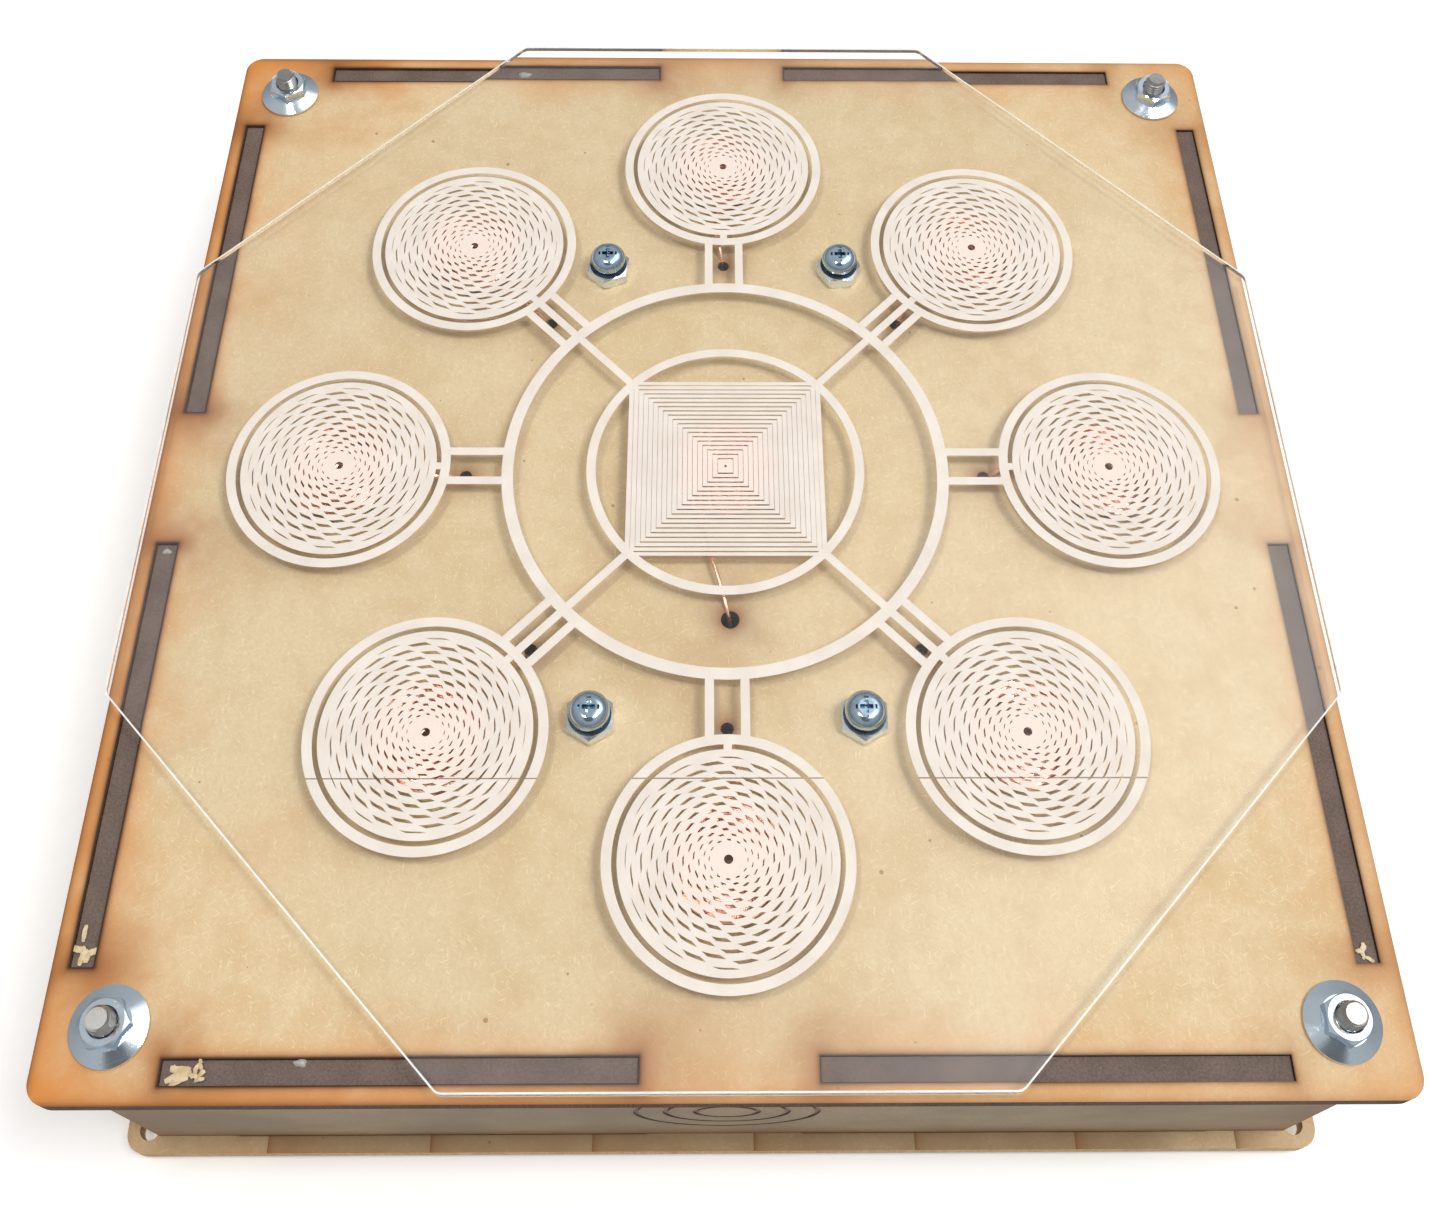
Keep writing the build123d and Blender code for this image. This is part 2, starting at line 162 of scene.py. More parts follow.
# ================= shader words =================
def node(tree, kind, values=None, **settings):
    """Add one shader node; values maps an input's name or number to a number, a colour or a socket."""
    made = tree.nodes.new("ShaderNode" + kind)
    for name, setting in settings.items():
        setattr(made, name, setting)
    for key, value in (values or {}).items():
        if isinstance(value, bpy.types.NodeSocket):
            tree.links.new(value, made.inputs[key])
        else:
            made.inputs[key].default_value = value
    return made


def calc(tree, operation, *values):
    """The result of one Math node."""
    return node(tree, "Math", dict(enumerate(values)), operation=operation).outputs[0]


def blend_colour(tree, share, first, second, mode="MIX"):
    """Two colours mixed by a share."""
    made = node(tree, "Mix", data_type="RGBA", blend_type=mode)
    for socket, value in ((made.inputs[0], share), (made.inputs[6], first), (made.inputs[7], second)):
        if isinstance(value, bpy.types.NodeSocket):
            tree.links.new(value, socket)
        else:
            socket.default_value = value
    return made.outputs[2]


def ramp(tree, value, low, high, out_low=0.0, out_high=1.0):
    """A value carried smoothly from one range to another."""
    made = node(tree, "MapRange", {"Value": value, "From Min": low, "From Max": high, "To Min": out_low,
                                   "To Max": out_high}, interpolation_type="SMOOTHSTEP")
    return made.outputs[0]


def noise(tree, where, scale, detail=2.0, rough=0.5, warp=0.0):
    """A noise value at a place; scale is in turns for each metre."""
    return node(tree, "TexNoise", {"Vector": where, "Scale": scale, "Detail": detail, "Roughness": rough,
                                   "Distortion": warp}).outputs[0]


def stretched(tree, where, turn, sizes, start=(0.0, 0.0, 0.0)):
    """The place turned about Z and then divided by three lengths, for a pattern that runs one way."""
    return node(tree, "Mapping", {"Vector": where, "Location": start, "Rotation": (0, 0, turn), "Scale": sizes},
                vector_type="TEXTURE").outputs[0]


def new_group(name, inputs, outputs):
    """A shader node group with named sockets: inputs are (name, kind, default)."""
    tree = bpy.data.node_groups.new(name, "ShaderNodeTree")
    for label, kind, default in inputs:
        socket = tree.interface.new_socket(label, in_out="INPUT", socket_type="NodeSocket" + kind)
        if default is not None:
            socket.default_value = default
    for label, kind in outputs:
        tree.interface.new_socket(label, in_out="OUTPUT", socket_type="NodeSocket" + kind)
    return tree, tree.nodes.new("NodeGroupInput").outputs, tree.nodes.new("NodeGroupOutput").inputs


def use(tree, group, **values):
    """Place a node group in a tree; an underscore in a name stands for a space."""
    made = tree.nodes.new("ShaderNodeGroup")
    made.node_tree = group
    for name, value in values.items():
        socket = made.inputs[name.replace("_", " ")]
        if isinstance(value, bpy.types.NodeSocket):
            tree.links.new(value, socket)
        else:
            socket.default_value = value
    return made.outputs


def new_material(name, **settings):
    """A material with one Principled shader, whose plain sockets are set by name."""
    material = bpy.data.materials.new(name)
    material.use_nodes = True
    tree = material.node_tree
    tree.nodes.clear()
    shader = tree.nodes.new("ShaderNodeBsdfPrincipled")
    output = tree.nodes.new("ShaderNodeOutputMaterial")
    tree.links.new(shader.outputs[0], output.inputs[0])
    for key, value in settings.items():
        shader.inputs[key.replace("_", " ")].default_value = value
    return material, tree, shader, node(tree, "TexCoord").outputs["Object"]


def bump(tree, shader, height, strength, distance):
    """Feed a height into the shader's normal."""
    made = node(tree, "Bump", {"Height": height, "Strength": strength, "Distance": distance})
    tree.links.new(made.outputs[0], shader.inputs["Normal"])


def rgb(red, green, blue):
    """A screen colour, 0 to 255, as linear light."""
    value = np.array([red, green, blue]) / 255
    linear = np.where(value > 0.04045, ((value + 0.055) / 1.055) ** 2.4, value / 12.92)
    return (*linear.tolist(), 1.0)


# ================= shared patterns =================
def make_fibre_board():
    """Pressed fibre: soft clouds, short pale fibres lying three ways, and scattered dark specks."""
    tree, given, result = new_group(
        "fibre_board",
        [("Place", "Vector", None), ("Base", "Color", rgb(222, 200, 162)), ("Cloud", "Color", rgb(208, 180, 136)),
         ("Fibre", "Color", rgb(240, 224, 186)), ("Speck", "Color", rgb(120, 92, 60))],
        [("Colour", "Color"), ("Height", "Float")])
    where = given["Place"]
    clouds = calc(tree, "ADD", calc(tree, "MULTIPLY", noise(tree, where, 24, 3), 0.5),
                  calc(tree, "MULTIPLY", noise(tree, where, 130, 3), 0.5))
    colour = blend_colour(tree, ramp(tree, clouds, 0.40, 0.66, 0.0, 0.7), given["Base"], given["Cloud"])
    mottle = ramp(tree, noise(tree, where, 900, 3, 0.65), 0.35, 0.75)
    colour = blend_colour(tree, calc(tree, "MULTIPLY", mottle, 0.45), colour, given["Cloud"])
    height = mottle
    lanes = ((0.4, 3.4, 0.42), (-0.7, 2.6, 0.36), (1.5, 3.0, 0.40), (2.5, 2.2, 0.34))
    for turn, length, width in lanes:
        lane = stretched(tree, where, turn, (length * MM, width * MM, 3 * MM), (turn, 0.0, 0.0))
        fibre = ramp(tree, noise(tree, lane, 1.0, 1.0), 0.64, 0.74)
        colour = blend_colour(tree, calc(tree, "MULTIPLY", fibre, 0.50), colour, given["Fibre"])
        height = calc(tree, "ADD", height, calc(tree, "MULTIPLY", fibre, 0.6))
    cells = node(tree, "TexVoronoi", {"Vector": where, "Scale": 170.0, "Randomness": 1.0})
    size = node(tree, "SeparateColor", {"Color": cells.outputs["Color"]}).outputs[0]
    reach = calc(tree, "MULTIPLY", calc(tree, "POWER", size, 6.0), 0.11)
    speck = calc(tree, "LESS_THAN", cells.outputs["Distance"], reach)
    colour = blend_colour(tree, calc(tree, "MULTIPLY", speck, 0.6), colour, given["Speck"])
    tree.links.new(colour, result["Colour"])
    tree.links.new(height, result["Height"])
    return tree


def make_cut_distance():
    """How far a point of a square sheet is from its outer edge, its nearest slot and its corner.

    Folding x and y into the larger and the smaller brings all eight slots onto one.
    """
    tree, given, result = new_group("cut_distance", [("Place", "Vector", None)],
                                    [("Edge", "Float"), ("Slot", "Float"), ("Slot end", "Float"),
                                     ("Corner", "Float")])
    x, y, _ = node(tree, "SeparateXYZ", {0: given["Place"]}).outputs
    x, y = calc(tree, "ABSOLUTE", x), calc(tree, "ABSOLUTE", y)
    far, near = calc(tree, "MAXIMUM", x, y), calc(tree, "MINIMUM", x, y)
    tree.links.new(calc(tree, "SUBTRACT", PANEL_HALF, far), result["Edge"])

    def outside(value, middle, half):
        away = calc(tree, "ABSOLUTE", calc(tree, "SUBTRACT", value, middle))
        return calc(tree, "MAXIMUM", calc(tree, "SUBTRACT", away, half), 0.0)

    def length(a, b):
        total = calc(tree, "ADD", calc(tree, "MULTIPLY", a, a), calc(tree, "MULTIPLY", b, b))
        return calc(tree, "SQRT", total)

    across = outside(far, SLOT_MIDDLE, SLOT_HALF_WIDTH)
    beyond = outside(near, SLOT_CENTRE, SLOT_HALF_LENGTH)
    tree.links.new(length(across, beyond), result["Slot"])
    to_end = calc(tree, "ABSOLUTE", calc(tree, "SUBTRACT", calc(tree, "ABSOLUTE", calc(
        tree, "SUBTRACT", near, SLOT_CENTRE)), SLOT_HALF_LENGTH))
    tree.links.new(length(calc(tree, "MULTIPLY", across, 0.8), to_end), result["Slot end"])
    tree.links.new(length(calc(tree, "SUBTRACT", PANEL_HALF, x), calc(tree, "SUBTRACT", PANEL_HALF, y)),
                   result["Corner"])
    return tree


def make_scorch():
    """A burn that dies away from a cut: 1 at the cut, e to the minus distance over reach beyond it."""
    tree, given, result = new_group(
        "scorch", [("Place", "Vector", None), ("Distance", "Float", 1.0), ("Reach", "Float", 0.005),
                   ("Strength", "Float", 1.0), ("Ragged", "Float", 0.5)], [("Mask", "Float")])
    waver = ramp(tree, noise(tree, given["Place"], 45, 3), 0.3, 0.7, 0.35, 1.5)
    reach = calc(tree, "MULTIPLY", given["Reach"],
                 calc(tree, "ADD", 1.0, calc(tree, "MULTIPLY", calc(tree, "SUBTRACT", waver, 1.0),
                                             given["Ragged"])))
    fall = calc(tree, "EXPONENT", calc(tree, "MULTIPLY", calc(tree, "DIVIDE", given["Distance"], reach), -1.0))
    mask = calc(tree, "MULTIPLY", fall, given["Strength"])
    tree.links.new(node(tree, "Clamp", {0: mask}).outputs[0], result["Mask"])
    return tree


def make_metal_wear():
    """Fine rubbing on plated metal: short scratches two ways, and a faint cloud of dulling."""
    tree, given, result = new_group("metal_wear", [("Place", "Vector", None), ("Amount", "Float", 1.0)],
                                    [("Mask", "Float"), ("Height", "Float")])
    where = given["Place"]
    scratch = 0.0
    for turn in (0.4, -1.1):
        lane = stretched(tree, where, turn, (3.3 * MM, 0.19 * MM, 0.6 * MM))
        line = ramp(tree, noise(tree, lane, 1.0, 2.0), 0.60, 0.72)
        scratch = calc(tree, "MAXIMUM", scratch, line)
    cloud = ramp(tree, noise(tree, where, 260, 3), 0.35, 0.7)
    mask = calc(tree, "MULTIPLY", calc(tree, "ADD", calc(tree, "MULTIPLY", scratch, 0.5), calc(
        tree, "MULTIPLY", cloud, 0.5)), given["Amount"])
    tree.links.new(mask, result["Mask"])
    tree.links.new(scratch, result["Height"])
    return tree


FIBRE_BOARD = make_fibre_board()
CUT_DISTANCE = make_cut_distance()
SCORCH = make_scorch()
METAL_WEAR = make_metal_wear()

BURN_ORANGE = rgb(212, 138, 70)
BURN_BROWN = rgb(120, 76, 44)
CHAR = rgb(66, 46, 34)
CHAR_LIGHT = rgb(100, 75, 56)
TAB_CHAR = rgb(98, 83, 76)
TAB_CHAR_LIGHT = rgb(122, 106, 97)
PALE_EDGE = rgb(176, 146, 108)
PALE_EDGE_LIGHT = rgb(208, 180, 140)


def cut_face_mask(tree, axis):
    """1 on a sheet's cut edges, whose normals turn away from the sheet's own axis."""
    normal = node(tree, "SeparateXYZ", {0: node(tree, "TexCoord").outputs["Normal"]}).outputs[axis]
    return calc(tree, "LESS_THAN", calc(tree, "ABSOLUTE", normal), 0.5)


def charred(tree, place, dark, light):
    """Laser-charred edge: dark brown, a little cloudy, with fine streaks down the cut."""
    lane = stretched(tree, place, 0.0, (0.5 * MM, 0.5 * MM, 16 * MM))
    streak = calc(tree, "MULTIPLY", noise(tree, lane, 1.0, 3), 0.6)
    cloud = calc(tree, "MULTIPLY", noise(tree, place, 110, 2), 0.4)
    return blend_colour(tree, ramp(tree, calc(tree, "ADD", streak, cloud), 0.3, 0.7), dark, light)


def hole_distance(tree, place, middles):
    """The distance from the nearest of some points on the sheet, in the plane."""
    x, y, _ = node(tree, "SeparateXYZ", {0: place}).outputs
    flat = node(tree, "CombineXYZ", {0: x, 1: y}).outputs[0]
    nearest = 1.0
    for middle in middles:
        away = node(tree, "VectorMath", {0: flat, 1: (*middle, 0.0)}, operation="DISTANCE").outputs["Value"]
        nearest = calc(tree, "MINIMUM", nearest, away)
    return nearest


def sheet_material(name, scorched, holes=(), slat_burns_and_shade=False, edge=(CHAR, CHAR_LIGHT)):
    """A square MDF sheet: fibre board, orange and brown scorching round every cut, charred edges.

    scorched scales the burns; the left side was cut hotter than the right, so they fade along X.
    """
    material, tree, shader, place = new_material(name, Roughness=0.62, Specular_IOR_Level=0.14)
    board = use(tree, FIBRE_BOARD, Place=place)
    cuts = use(tree, CUT_DISTANCE, Place=place)
    colour = board["Colour"]
    # the slat option adds burnt bands at the slat pitch and a painted shade over the sheet's middle
    if slat_burns_and_shade:
        x = node(tree, "SeparateXYZ", {0: place}).outputs[0]
        # painted shade: the base's middle, in shade under the top panel, is darkened towards a grey-brown while
        # its ends stay pale
        painted_base_shade = calc(tree, "MULTIPLY", ramp(tree, calc(tree, "ABSOLUTE", x), 118 * MM, 108 * MM, 0.0, 0.62),
                      ramp(tree, noise(tree, place, 40, 2), 0.3, 0.7, 0.7, 1.0))
        colour = blend_colour(tree, painted_base_shade, colour, rgb(140, 114, 88))
        past = calc(tree, "FLOORED_MODULO", calc(tree, "SUBTRACT", x, SLAT_START), SLAT_PITCH)
        band = use(tree, SCORCH, Place=place, Distance=past, Reach=6 * MM, Strength=0.55, Ragged=0.5)["Mask"]
        colour = blend_colour(tree, band, colour, rgb(158, 112, 70))
        band = use(tree, SCORCH, Place=place, Distance=past, Reach=0.8 * MM, Strength=0.7, Ragged=0.3)["Mask"]
        colour = blend_colour(tree, band, colour, BURN_BROWN)
    heat = ramp(tree, node(tree, "SeparateXYZ", {0: place}).outputs[0], -PANEL_HALF, PANEL_HALF, 1.28, 0.55)
    heat = calc(tree, "MULTIPLY", heat, scorched)
    layers = [("Edge", 6.5, 0.75, 0.9, BURN_ORANGE), ("Corner", 22.0, 1.0, 0.6, BURN_ORANGE),
              ("Slot", 3.5, 0.42, 0.8, BURN_ORANGE), ("Slot end", 5.5, 0.75, 0.9, rgb(150, 98, 58)),
              ("Edge", 0.9, 0.70, 0.4, BURN_BROWN), ("Slot", 0.6, 0.85, 0.3, BURN_BROWN),
              ("Slot", 0.42, 1.4, 0.3, CHAR)]
    for cut, reach, strength, ragged, tint in layers:
        mask = use(tree, SCORCH, Place=place, Distance=cuts[cut], Reach=reach * MM,
                   Strength=calc(tree, "MULTIPLY", heat, strength), Ragged=ragged)["Mask"]
        colour = blend_colour(tree, mask, colour, tint)
    for middles, radius, reach, strength in holes:
        rim = calc(tree, "MAXIMUM", calc(tree, "SUBTRACT", hole_distance(tree, place, middles), radius), 0.0)
        mask = use(tree, SCORCH, Place=place, Distance=rim, Reach=reach, Strength=strength, Ragged=0.8)["Mask"]
        colour = blend_colour(tree, mask, colour, rgb(140, 92, 54))
    cut = cut_face_mask(tree, 2)
    colour = blend_colour(tree, cut, colour, charred(tree, place, *edge))
    tree.links.new(colour, shader.inputs["Base Color"])
    plain = ramp(tree, board["Height"], 0.0, 1.6, 0.55, 0.75)
    rough = calc(tree, "ADD", plain, calc(tree, "MULTIPLY", cut, 0.2))
    tree.links.new(rough, shader.inputs["Roughness"])
    bump(tree, shader, board["Height"], 0.25, 0.00006)
    return material


def wall_material(name, axis, painted_wall_shade=(0.30, 0.50), tint=rgb(150, 128, 104)):
    """An upright MDF wall: fibre board, scorched along its edges, with charred tab ends, under a cloudy painted
    shade.
    """
    material, tree, shader, place = new_material(name, Roughness=0.68, Specular_IOR_Level=0.14)
    board = use(tree, FIBRE_BOARD, Place=place)
    x, y, z = node(tree, "SeparateXYZ", {0: place}).outputs
    colour = board["Colour"]
    half = (wall_high[2] - wall_low[2]) / 2
    to_edge = calc(tree, "SUBTRACT", half, calc(tree, "ABSOLUTE", calc(tree, "SUBTRACT", z, RING_HEIGHT)))
    along = calc(tree, "ABSOLUTE", x if axis == 1 else y)
    to_side = calc(tree, "SUBTRACT", wall_high[0], along)
    to_cut = calc(tree, "MAXIMUM", calc(tree, "MINIMUM", to_edge, to_side), 0.0)
    mask = use(tree, SCORCH, Place=place, Distance=to_cut, Reach=9 * MM, Strength=0.75, Ragged=0.9)["Mask"]
    colour = blend_colour(tree, mask, colour, BURN_ORANGE)
    if name == "front_wall_board":
        middle = node(tree, "CombineXYZ", {0: x, 1: calc(tree, "SUBTRACT", z, RING_HEIGHT)}).outputs[0]
        out = node(tree, "VectorMath", {0: middle}, operation="LENGTH").outputs["Value"]
        for radius in RING_RADII:
            away = calc(tree, "ABSOLUTE", calc(tree, "SUBTRACT", out, radius))
            mask = use(tree, SCORCH, Place=place, Distance=away, Reach=0.8 * MM, Strength=0.75,
                       Ragged=0.5)["Mask"]
            colour = blend_colour(tree, mask, colour, BURN_BROWN)
    # painted shade: the board darkens in soft clouds towards the tint, standing in for the shade the walls lie in
    # under the top panel
    painted_wall_shade = ramp(tree, noise(tree, place, 30, 2), 0.3, 0.7, *painted_wall_shade)
    colour = blend_colour(tree, painted_wall_shade, colour, tint)
    colour = blend_colour(tree, cut_face_mask(tree, axis), colour, charred(tree, place, TAB_CHAR,
                                                                           TAB_CHAR_LIGHT))
    tree.links.new(colour, shader.inputs["Base Color"])
    bump(tree, shader, board["Height"], 0.25, 0.00006)
    return material


def metal_material(name, colour, worn, roughness, amount=1.0):
    """Plated or bare metal: its own colour, rubbed towards a second one, with fine scratches."""
    material, tree, shader, place = new_material(name, Metallic=1.0)
    wear = use(tree, METAL_WEAR, Place=place, Amount=amount)
    tree.links.new(blend_colour(tree, wear["Mask"], colour, worn), shader.inputs["Base Color"])
    tree.links.new(ramp(tree, wear["Mask"], 0.0, 1.0, roughness, roughness + 0.22), shader.inputs["Roughness"])
    bump(tree, shader, wear["Height"], 0.12, 0.00002)
    return material


def plastic_material(name, colour, second, roughness, grain=900.0):
    """Moulded plastic or board: two close tones and a fine skin texture."""
    material, tree, shader, place = new_material(name)
    tone = ramp(tree, noise(tree, place, grain * 0.2, 3), 0.3, 0.7)
    tree.links.new(blend_colour(tree, tone, colour, second), shader.inputs["Base Color"])
    skin = noise(tree, place, grain, 2)
    tree.links.new(ramp(tree, skin, 0.3, 0.7, roughness, roughness + 0.15), shader.inputs["Roughness"])
    bump(tree, shader, skin, 0.15, 0.00003)
    return material


def acrylic_material():
    """Clear sheet that lets lamp light through to the board below."""
    material, tree, shader, place = new_material("clear_acrylic", Roughness=0.02, IOR=1.49,
                                                 Transmission_Weight=1.0)
    shader.inputs["Base Color"].default_value = (1, 1, 1, 1)
    output = next(n for n in tree.nodes if n.type == "OUTPUT_MATERIAL")
    clear = node(tree, "BsdfTransparent", {0: (0.985, 0.99, 0.985, 1)}).outputs[0]
    path = node(tree, "LightPath").outputs
    lamps = calc(tree, "MAXIMUM", path["Is Shadow Ray"], path["Is Diffuse Ray"])
    see = node(tree, "MixShader", {0: lamps, 1: shader.outputs[0], 2: clear}).outputs[0]
    tree.links.new(see, output.inputs[0])
    return material


def cut_acrylic_material():
    """The plate's cut edge: painted highlights, white and nearly opaque, along both rims, a faint painted glow,
    and a nearly clear face between them.
    """
    # the weak white emission is a painted glow on the edge
    material, tree, shader, place = new_material("cut_acrylic", Roughness=0.35, Emission_Strength=0.06)
    shader.inputs["Emission Color"].default_value = (1, 1, 1, 1)
    streak = noise(tree, stretched(tree, place, 0.0, (2.5 * MM, 2.5 * MM, 30 * MM)), 1.0, 2)
    tree.links.new(blend_colour(tree, ramp(tree, streak, 0.35, 0.65), rgb(252, 252, 248), rgb(236, 236, 232)),
                   shader.inputs["Base Color"])
    z = node(tree, "SeparateXYZ", {0: place}).outputs[2]
    from_middle = calc(tree, "ABSOLUTE", calc(tree, "SUBTRACT", z, (PLATE_TOP + PLATE_BOTTOM) / 2))
    # painted highlight: near both rims the edge turns a nearly opaque white
    rim_highlight = ramp(tree, from_middle, 1.05 * MM, 1.25 * MM)
    face = ramp(tree, streak, 0.3, 0.7, 0.12, 0.3)
    share = calc(tree, "ADD", calc(tree, "MULTIPLY", rim_highlight, 0.68), calc(tree, "MULTIPLY", face, calc(
        tree, "SUBTRACT", 1.0, rim_highlight)))
    tree.links.new(share, shader.inputs["Alpha"])
    return material


def frosted_material():
    """Laser-frosted white on the plate: bright and slightly see-through, with a fine raster and a painted pink
    glow over each coil.
    """
    material, tree, shader, place = new_material("engraved_white", Roughness=0.7, Specular_IOR_Level=0.3)
    x, y, _ = node(tree, "SeparateXYZ", {0: place}).outputs
    tone = ramp(tree, noise(tree, place, 160, 3), 0.3, 0.7)
    colour = blend_colour(tree, tone, rgb(244, 235, 225), rgb(232, 221, 210))
    # painted glow: over each coil the frost is tinted pink-white, for the copper's light showing through it
    near = calc(tree, "SUBTRACT", hole_distance(tree, place, COIL_PLACES), 13.6 * MM)
    strand = ramp(tree, noise(tree, place, 420, 2), 0.35, 0.7, 0.75, 1.0)
    painted_coil_glow = calc(tree, "MULTIPLY", ramp(tree, near, 3.0 * MM, -5.0 * MM, 0.0, 0.6), strand)
    colour = blend_colour(tree, painted_coil_glow, colour, rgb(255, 232, 220))
    missed = calc(tree, "LESS_THAN", calc(tree, "ABSOLUTE", calc(tree, "SUBTRACT", y, MISSED_LINE)), 0.16 * MM)
    colour = blend_colour(tree, calc(tree, "MULTIPLY", missed, 0.8), colour, rgb(150, 128, 108))
    tree.links.new(colour, shader.inputs["Base Color"])
    raster = node(tree, "TexWave", {"Vector": place, "Scale": 900.0, "Distortion": 0.4, "Detail": 1.0},
                  bands_direction="Y").outputs[1]
    alpha = calc(tree, "SUBTRACT", ramp(tree, tone, 0.0, 1.0, 0.88, 0.94), calc(tree, "MULTIPLY", missed, 0.35))
    tree.links.new(alpha, shader.inputs["Alpha"])
    bump(tree, shader, raster, 0.25, 0.00003)
    return material


bearings = np.radians(list(PAD_BEARINGS.values()))
COIL_PLACES = [(0.0, 0.0)] + [(PAD_CIRCLE * np.cos(b), PAD_CIRCLE * np.sin(b)) for b in bearings]
lead_holes = [(HOLE_CIRCLE * np.cos(b), HOLE_CIRCLE * np.sin(b)) for b in bearings]

top_board = sheet_material("top_board", 1.0, holes=[(lead_holes, 1.6 * MM, 3.4 * MM, 0.8),
                                               ([CENTRE_HOLE], 2.35 * MM, 5.5 * MM, 0.85)])
base_board = sheet_material("base_board", 0.10, slat_burns_and_shade=True, edge=(PALE_EDGE, PALE_EDGE_LIGHT))
zinc = metal_material("bright_zinc", rgb(228, 241, 252), rgb(206, 220, 232), 0.11, 0.6)
screw_zinc = metal_material("screw_zinc", rgb(200, 222, 238), rgb(150, 172, 190), 0.09)
dull_steel = metal_material("dull_steel", rgb(184, 184, 182), rgb(150, 148, 146), 0.30)
copper = metal_material("bare_copper", rgb(246, 206, 186), rgb(222, 168, 144), 0.26)
brass = metal_material("turned_brass", rgb(214, 180, 104), rgb(170, 138, 74), 0.25)
socket_steel = metal_material("socket_steel", rgb(200, 202, 204), rgb(160, 162, 166), 0.28)
acrylic = acrylic_material()
cut_acrylic = cut_acrylic_material()
engraved_white = frosted_material()
solder_mask = plastic_material("solder_mask", rgb(20, 92, 56), rgb(14, 74, 46), 0.3, 500.0)
chip_black = plastic_material("chip_black", rgb(34, 34, 36), rgb(24, 24, 26), 0.45)
terminal_green = plastic_material("terminal_green", rgb(38, 140, 84), rgb(30, 120, 70), 0.3)
torn_fibre = plastic_material("torn_fibre", rgb(228, 208, 170), rgb(194, 168, 128), 0.75, 2500.0)
clear_glue = plastic_material("clear_glue", rgb(240, 238, 232), rgb(214, 210, 200), 0.04, 300.0)
clear_glue.node_tree.nodes["Principled BSDF"].inputs["Alpha"].default_value = 0.5


# ================= materials of the carried-over parts =================
def finish_cad(material, *names):
    """Give CAD parts a material."""
    for name in names:
        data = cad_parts[name].data
        data.materials.clear()
        data.materials.append(material)


finish_cad(top_board, "top_panel")
finish_cad(base_board, "base_plate")
# the front wall gets the heaviest painted shade, for the shade under the top panel's overhang
finish_cad(wall_material("front_wall_board", 1, (0.70, 0.86), rgb(116, 102, 86)), "front_wall")
finish_cad(wall_material("back_wall_board", 1), "back_wall")
finish_cad(wall_material("side_wall_board", 0), "left_wall", "right_wall")
finish_cad(acrylic, "touch_plate")
finish_cad(screw_zinc, "plate_screws")
finish_cad(zinc, "spacer_nuts", "plate_lock_nuts", "board_screws", "standoff_screws",
           "flange_nut_front_left", "flange_nut_front_right", "flange_nut_back_left", "flange_nut_back_right")
finish_cad(dull_steel, "corner_bolts")
finish_cad(solder_mask, "controller_board")
finish_cad(chip_black, "touch_chip", "controller_chip")
finish_cad(terminal_green, "front_terminals", "rear_terminals")
finish_cad(socket_steel, "usb_socket")
finish_cad(brass, "board_standoffs")

# ================= engraving on the touch plate =================
ENGRAVED_RISE = 0.10 * MM
PAD_RING = (26.6 * MM, 29.0 * MM)
PAD_DISC = 25.4 * MM
PAD_EYE = 1.05 * MM
SLOT_RINGS = 17
SLOTS_ROUND = 12
STEPS = 8  # grid columns for each slot and its bridge
OPEN_STEPS = 3
SLOT_FIRST, SLOT_PITCH = 4.4 * MM, 1.19 * MM
SLOT_SLANT = np.radians(2.0)
SLOT_START = np.radians(22.4)
BIG_RING = (55.5 * MM, 58.5 * MM)
INNER_RING = (34.0 * MM, 36.4 * MM)
SQUARE_HALF = 25.75 * MM
BAR_OFFSET, BAR_WIDTH = 4.3 * MM, 2.2 * MM
SPOKE_WIDTH = 2.1 * MM


def flat_ring(inner, outer, middle=(0, 0), sides=160):
    """A flat ring on top of the plate."""
    angle = np.linspace(0, TAU, sides, endpoint=False)[None, :]
    radius = np.array([outer, inner])[:, None]
    return grid(polar(radius, angle, PLATE_TOP) + (*middle, 0), wrap=True)


def flat_bar(start, end, width, height):
    """A flat straight bar between two points of the plate."""
    start, end = np.array(start), np.array(end)
    along = (end - start) / np.linalg.norm(end - start)
    across = np.array([-along[1], along[0]]) * width / 2
    corners = np.array([[start - across, end - across], [start + across, end + across]])
    return grid(np.concatenate([corners, np.full((2, 2, 1), PLATE_TOP + height)], axis=-1))


def pad_directions(bearing):
    """The unit vectors out along a pad's bearing and square across it."""
    turn = np.radians(bearing)
    along = np.array([np.cos(turn), np.sin(turn)])
    return along, np.array([-along[1], along[0]])


def slotted_disc(middle):
    """A disc with rings of slots: open cells of a polar grid whose rows are the slots' two sides.

    Each ring's slots start where the next ring out has its slots' ends, so they climb in spirals.
    They are widest where their ring crosses the Y direction, and slant from one side to the other.
    """
    columns = SLOTS_ROUND * STEPS
    angle = SLOT_START + np.linspace(0, TAU, columns, endpoint=False)
    ring = np.arange(SLOT_RINGS)
    centre = SLOT_FIRST + SLOT_PITCH * ring
    thick = (0.34 + 0.44 * np.sin(angle[None, :]) ** 2) * MM * np.clip(centre / (9 * MM), 0.55, 1.0)[:, None]
    thick *= np.where(ring == SLOT_RINGS - 1, 0.5, 1.0)[:, None]
    sides = np.stack([centre[:, None] - thick / 2, centre[:, None] + thick / 2], axis=1).reshape(-1, columns)
    eye, rim = np.full((1, columns), PAD_EYE), np.full((1, columns), PAD_DISC)
    radius = np.concatenate([eye, sides, rim])
    slant = np.concatenate([[0], np.tile([-SLOT_SLANT, SLOT_SLANT], SLOT_RINGS), [0]])[:, None]
    points = polar(radius, angle[None, :] + slant, PLATE_TOP) + (*middle, 0)
    keep = np.ones((radius.shape[0] - 1, columns), bool)
    column = np.arange(columns)
    for number in range(SLOT_RINGS):
        keep[1 + 2 * number] = (column + OPEN_STEPS * (number - 8)) % STEPS >= OPEN_STEPS
    return grid(points[::-1], wrap=True, keep=keep[::-1])


